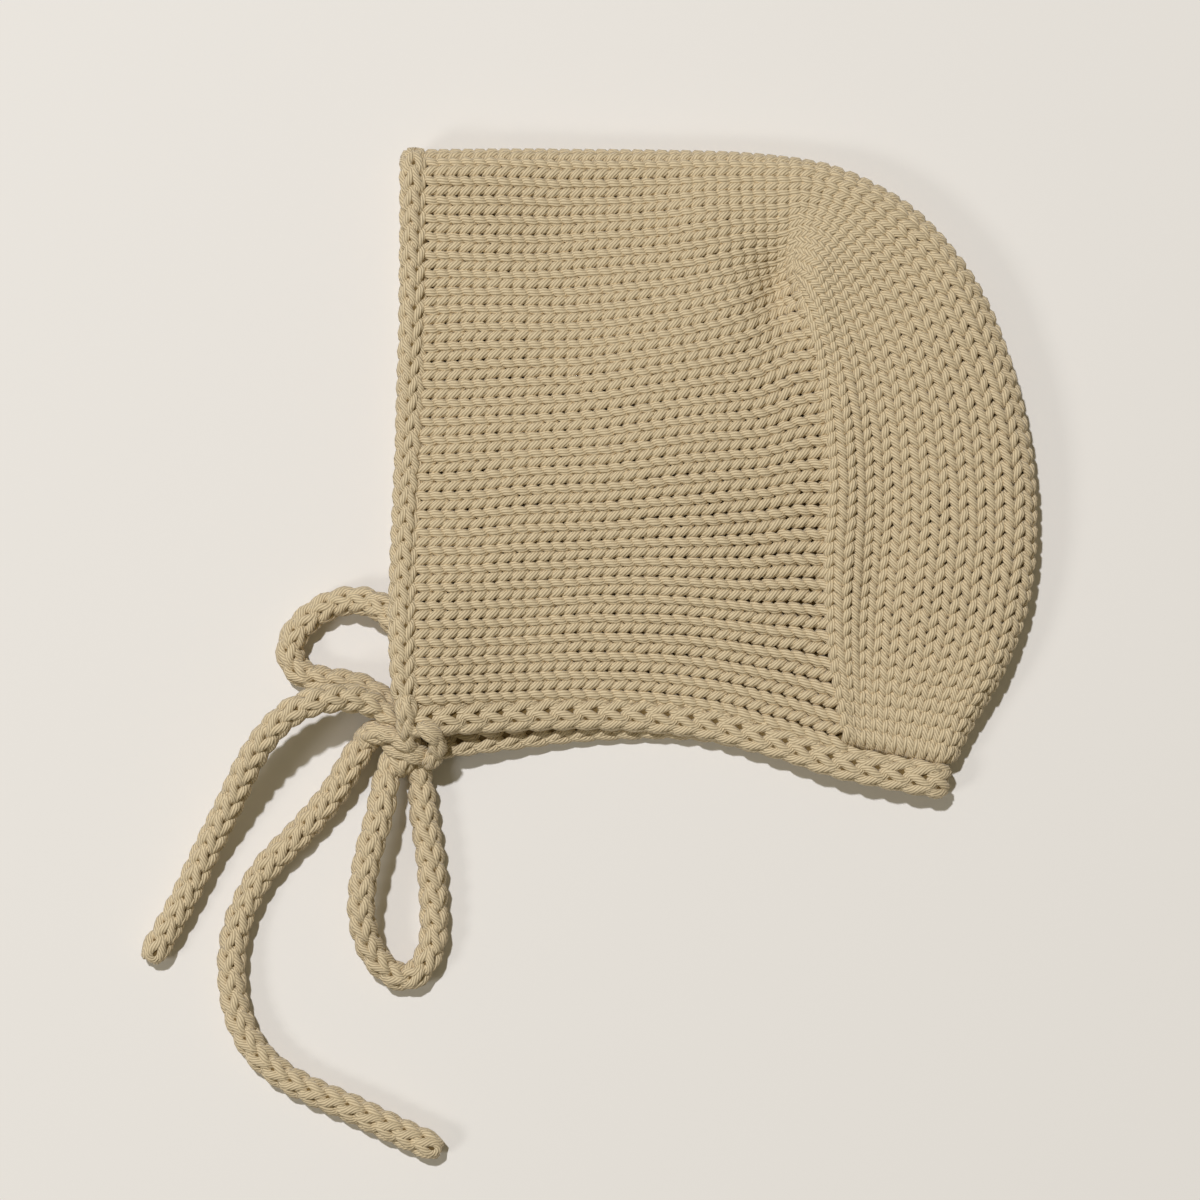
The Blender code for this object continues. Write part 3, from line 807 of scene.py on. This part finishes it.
intoKnot = {  # before the first point and after the last one of a tie
    "tie_loop_upper": (((-80.2, -65.0, 11.0),), ((-84.6, -58.4, 5.0), (-82.0, -62.4, 6.4))),
    "tie_end_upper": (((-82.0, -62.9, 12.6),), ()),
    "tie_end_lower": (((-84.6, -66.2, 12.6), (-87.4, -65.6, 11.0), (-89.0, -66.2, 8.6)), ()),
    "tie_loop_lower": (((-82.6, -71.6, 7.4),), ((-76.4, -74.0, 6.6),)),
}


# a smooth line through points given in mm
def lineInMillimetres(points):
    return smoothLine([Vector(point) * millimetre for point in points])


for number, (name, route) in enumerate(ties.items()):
    before, after = intoKnot[name]
    line = lineInMillimetres((*before, *route, *after))
    taper = intoKnotTaper(line, before, after)
    piece = knitCord(name + "_knit", line, bonnet["tie"], 20.0 + number, taper)
    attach(piece, "root")
    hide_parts(name)

# knot: cords pulled tight
leads = {  # diameter and path, in mm
    "tie_lead_near": (
        6.8, ((-78.8, -57.4, 20.4), (-78.8, -60.8, 19.6), (-78.6, -64.2, 17.4), (-78.4, -67.0, 14.6),
              (-78.2, -69.4, 11.5)),
    ),
    "tie_lead_far": (
        5.6, ((-74.6, -64.4, 20.4), (-72.2, -65.8, 20.0), (-70.8, -68.8, 17.0), (-71.6, -71.8, 13.0),
              (-73.8, -73.8, 9.6)),
    ),
}
for number, (name, (diameter, route)) in enumerate(leads.items()):
    piece = knitCord(name + "_knit", lineInMillimetres(route), diameter * millimetre, 30.0 + number)
    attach(piece, "root")
    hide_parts(name)

heart = {"middle": (-80.6, -68.7, 8.2), "radius": 5.4, "halfLength": 7.4}  # in mm
wraps = {  # diameter and path, in mm
    "bow_knot_wrap": (
        5.8, ((-86.4, -64.6, 12.4), (-84.2, -66.0, 13.2), (-81.6, -67.2, 13.8), (-79.0, -68.6, 13.6),
              (-76.4, -70.2, 12.0), (-74.6, -71.2, 9.6)),
    ),
    "bow_knot_turn": (
        4.2, ((-84.6, -69.4, 10.0), (-82.4, -70.6, 11.8), (-79.6, -71.8, 12.2), (-76.8, -72.4, 11.0),
              (-74.8, -72.8, 8.6)),
    ),
}
x, y, z = heart["middle"]
heartShares = (-0.98, -0.5, 0, 0.5, 0.98)
line = lineInMillimetres([(x, y + heart["halfLength"] * share, z) for share in heartShares])
knotPieces = [knitCord(
    "bow_knot_heart", line, 2 * heart["radius"] * millimetre, 34.0,
    lambda share: max(1 - (2 * share - 1) ** 2, 0.03) ** 0.5)]
for number, (name, (diameter, route)) in enumerate(wraps.items()):
    knotPieces.append(knitCord(name, lineInMillimetres(route), diameter * millimetre, 36.0 + number))
for piece in knotPieces:
    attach(piece, "root")
    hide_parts("bow_knot")


# bands: knitted edgings, wound over the crown or the nape on to the far layer
def turnBack(line, radius):
    lengths = lengthsOf(line)
    length = lengths[-1] - radius
    return [pointAt(line, lengths, length * i / len(line)) for i in range(len(line) + 1)]


bandStep = 0.002


# places along a line, with its heading at each
def headings(line):
    lengths = lengthsOf(line)
    steps = round(lengths[-1] / bandStep)
    places = []
    for i in range(steps + 1):
        ahead = pointAt(line, lengths, lengths[-1] * (i / steps + 0.01))
        behind = pointAt(line, lengths, lengths[-1] * (i / steps - 0.01))
        places.append((pointAt(line, lengths, lengths[-1] * i / steps), (ahead - behind).normalized()))
    return places


# middle line of an edging, with its across and outward directions
def bandFrames(near, far, thickness, farLift=None):
    up = Vector((0, 0, 1))
    half = bonnet["cloth"] / 2
    frames = []
    for place, heading in headings(near):
        across = Vector((heading.y, -heading.x, 0))
        frames.append((Vector((*place, topHeight(place) - half)), across, up))
    radius = (topHeight(near[-1]) - half - thickness / 2) / 2
    ahead = Vector((*heading, 0))
    steps = max(round(math.pi * radius / bandStep), 4)
    for i in range(1, steps):
        angle = math.pi * (0.5 - i / steps)
        outward = ahead * math.cos(angle) + up * math.sin(angle)
        frames.append((Vector((*near[-1], thickness / 2 + radius)) + outward * radius, across, outward))
    for place, heading in headings(far):
        across = Vector((-heading.y, heading.x, 0))
        height = thickness / 2 + (farLift(place) if farLift else 0)
        frames.append((Vector((*place, height)), across, -up))
    return frames


# the same number of steps along as rows need, evenly spaced
def evenFrames(frames, count):
    middles = [middle for middle, _, _ in frames]
    lengths = lengthsOf(middles)
    even = []
    for j in range(count + 1):
        wanted = lengths[-1] * j / count
        i = min(bisect.bisect_right(lengths, wanted), len(frames) - 1)
        share = (wanted - lengths[i - 1]) / (lengths[i] - lengths[i - 1])
        even.append(tuple(a.lerp(b, share) for a, b in zip(frames[i - 1], frames[i])))
    return even


def ovalGrid(frames, across, width, thickness, start=0, wind=0):
    grid = []
    for j, (middle, side, outward) in enumerate(frames):
        ring = []
        for i in range(across + 1):
            angle = start + math.tau * (i / across + wind * j / len(frames))
            way = side * math.cos(angle) * width / 2 + outward * math.sin(angle) * thickness / 2
            ring.append(middle + way)
        grid.append(ring)
    return grid


def knitBand(name, node, frames, given, width, thickness):
    length = lengthsOf([middle for middle, _, _ in frames])[-1]
    rows = round(length / given["rowPitch"])
    frames = evenFrames(frames, 2 * rows)
    less = given["Yarn diameter"] + 2 * given["Loop depth"]
    width -= less
    thickness -= less
    grid = ovalGrid(frames, 2 * given["wales"], width, thickness, given["start"], given["wind"])
    piece = knit(name, surfaceMesh(name, grid, True), knitValues(given, **{
        "First wale": 0.0, "Wales": given["wales"], "All wales": float(given["wales"]), "Rows": rows,
        "Margin": 0.5, "Yarn": cottonYarn}))
    # the core is painted dark as the shade inside the band, seen between its loops
    over = 2 * core["over"]
    coreGrid = ovalGrid(frames, core["bandSides"], width + over, thickness + over)
    joined(piece, closedTube(name + "_core", coreGrid), paintedShadeCotton)
    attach(piece, "root")
    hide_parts(node)
    return piece


frontStitch = {
    "wales": 4,
    "rowPitch": 0.0048,
    "start": 0.0,
    "wind": -0.8,
    "Steps per stitch": 14,
    "Yarn diameter": 0.0024,
    "Yarn sides": 6,
    "Loop lean": 0.31,
    "Leg spread": 0.02,
    "Loop height": 0.66,
    "Loop depth": 0.0006,
    "Leg fullness": 0.12,
    "Unevenness": 0.12,
    "Seed": 41.0,
}
middle = outlinePoints("front")
near = smoothLine(middle[::-1])
fold = (topHeight(near[-1]) - bonnet["cloth"] / 2 + bonnet["frontThickness"] / 2) / 2
near = turnBack(near, fold)
far = [near[-1], *smoothLine([*middle[1:-1], middle[-1] - Vector((0, bonnet["farFrontDrop"]))])]
frames = bandFrames(near, far, bonnet["frontThickness"])
frontBand = knitBand(
    "front_band_knit", "front_band", frames, frontStitch, bonnet["frontWidth"], bonnet["frontThickness"])

neckStitch = {
    "wales": 4,
    "rowPitch": 0.0063,
    "underLead": 0.003,  # how far the band's front end runs on under the lead
    "pulledUp": 0.0060,  # how far the knot lifts the far band's front end, fading over pulledOver
    "pulledOver": 0.026,
    "start": 0.2,
    "wind": 0,
    "Steps per stitch": 14,
    "Yarn diameter": 0.0026,
    "Yarn sides": 6,
    "Loop lean": 0.31,
    "Leg spread": 0.02,
    "Loop height": 0.66,
    "Loop depth": 0.0006,
    "Leg fullness": 0.12,
    "Unevenness": 0.12,
    "Seed": 43.0,
}
below = Vector((0, bonnet["neckWidth"] / 2 + bonnet["joinGap"]))
near = smoothLine([place - below for place in neckEdge(0)])
fold = (topHeight(near[-1]) - bonnet["cloth"] / 2 + bonnet["neckThickness"] / 2) / 2
near = turnBack(near, fold)
near.insert(0, near[0] + (near[0] - near[1]).normalized() * neckStitch["underLead"])
far = turnBack(smoothLine([place - below for place in neckEdge(1)]), fold)[::-1]
far[0] = near[-1]


def pulledUp(place):
    away = (place.x - far[-1].x) / neckStitch["pulledOver"]
    return neckStitch["pulledUp"] * math.exp(-away * away)


frames = bandFrames(near, far, bonnet["neckThickness"], pulledUp)
neckBand = knitBand(
    "neck_band_knit", "neck_band", frames, neckStitch, bonnet["neckWidth"], bonnet["neckThickness"])

shadeSheetWall = {"inward": 0.0004, "thickness": 0.0008}  # under the middle of the loops


# a sheet under the stitches, painted dark as the shade seen between them
def paintedShadeSheet(name, lines, node):
    mesh = surfaceMesh(name, [line[::2] for line in lines[::2]])
    outward = mesh.attributes["outward"].data
    for vertex in mesh.vertices:
        vertex.co -= outward[vertex.index].vector * shadeSheetWall["inward"]
    mesh.flip_normals()
    print(name, "flat area", round(sum(face.area for face in mesh.polygons), 5))
    sheet = bpy.data.objects.new(name, mesh)
    bpy.context.scene.collection.objects.link(sheet)
    wall = sheet.modifiers.new("wall", "SOLIDIFY")
    wall.thickness = shadeSheetWall["thickness"]
    wall.offset = -1
    bpy.context.view_layer.update()
    graph = bpy.context.evaluated_depsgraph_get()
    made = bpy.data.meshes.new_from_object(sheet.evaluated_get(graph))
    sheet.modifiers.clear()
    sheet.data = made
    made.materials.clear()
    made.materials.append(paintedShadeCotton)
    made.shade_smooth()
    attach(sheet, "root")
    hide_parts(node)


paintedShadeSheet(
    "side_panel_shade_sheet", sideLines, "side_panel")
paintedShadeSheet("back_panel_shade_sheet", backGrid(0), "back_panel")

# table: smooth matt white board, plain and even
table = {"colour": "#ebe7e0", "size": 6.0, "roughness": 0.6}
floorMesh = bpy.data.meshes.new("table_top")
half = table["size"] / 2
corners = [(-half, -half, 0), (half, -half, 0), (half, half, 0), (-half, half, 0)]
floorMesh.from_pydata(corners, [], [(0, 1, 2, 3)])
floor = bpy.data.objects.new("table_top", floorMesh)
bpy.context.scene.collection.objects.link(floor)
floorMesh.materials.append(newMaterial("matte white table", {
    "Base Color": linearColour(table["colour"]), "Roughness": table["roughness"]})[0])

# lamps: one soft key from behind the table, and a faint one from the side
lampsAim = (0, -0.03, 0)
lamps = (  # name, place, size, watts, colour
    ("key", (-1.26, 2.25, 5.55), 0.24, 281, "#f6f7fd"),
    ("side", (-1.5, -0.7, 1.5), 0.5, 8, "#ffffff"),
)
for name, place, size, watts, hexColour in lamps:
    light = bpy.data.lights.new(name, "AREA")
    light.size = size
    light.energy = watts
    light.color = linearColour(hexColour)[:3]
    lamp = bpy.data.objects.new(name, light)
    lamp.location = place
    lamp.rotation_euler = (Vector(lampsAim) - Vector(place)).to_track_quat("-Z", "Y").to_euler()
    bpy.context.scene.collection.objects.link(lamp)
room = {"colour": "#e7dcba", "strength": 0.22}
world = bpy.data.worlds.new("room")
world.use_nodes = True
background = world.node_tree.nodes["Background"]
background.inputs["Color"].default_value = linearColour(room["colour"])
background.inputs["Strength"].default_value = room["strength"]
bpy.context.scene.world = world
bpy.context.scene.view_settings.view_transform = "Standard"
print("table and lamps set")
